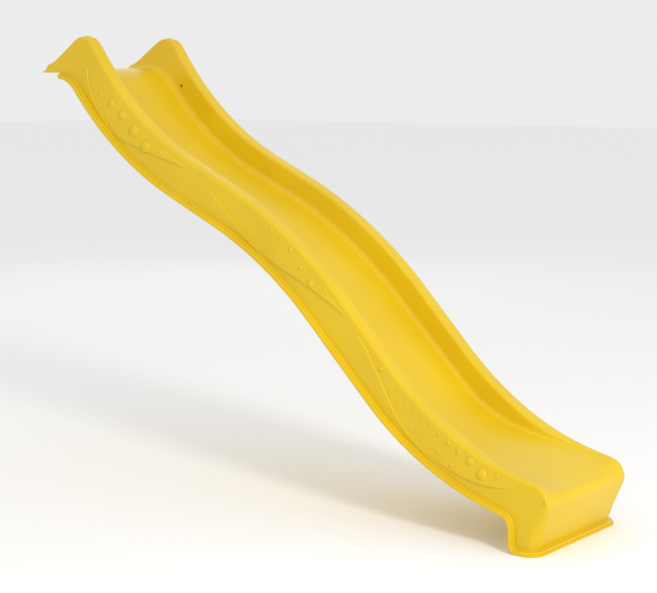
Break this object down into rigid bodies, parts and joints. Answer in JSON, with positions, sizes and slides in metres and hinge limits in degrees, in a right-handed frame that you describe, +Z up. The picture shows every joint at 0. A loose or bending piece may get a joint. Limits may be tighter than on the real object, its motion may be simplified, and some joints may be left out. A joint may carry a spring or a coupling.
{
  "type": "wave slide",
  "caption": "Wavy garden slide: hollow double-walled trough between side rails with grab ears, a lip that screws to a platform and a block foot.",
  "frame": {"origin": "on the ground, under the middle of the slide's length and width", "axes": "+Z up, +Y along the run towards the platform, so the slide goes down towards -Y; +X across"},
  "size_m": [0.538, 2.28, 1.6336],
  "materials": {
    "yellow_plastic": "satin moulded polyethylene",
    "dark_plastic": "matte",
    "seal_rubber": "matte"
  },
  "bodies": {
    "root": {"upper_shell": "yellow_plastic", "underside_shell": "yellow_plastic", "vent_plugs": "yellow_plastic", "water_nozzle": "dark_plastic", "nozzle_spacer": "dark_plastic", "nozzle_seal": "seal_rubber", "nozzle_nut": "dark_plastic", "hose_nipple": "dark_plastic"}
  },
  "joints": []
}
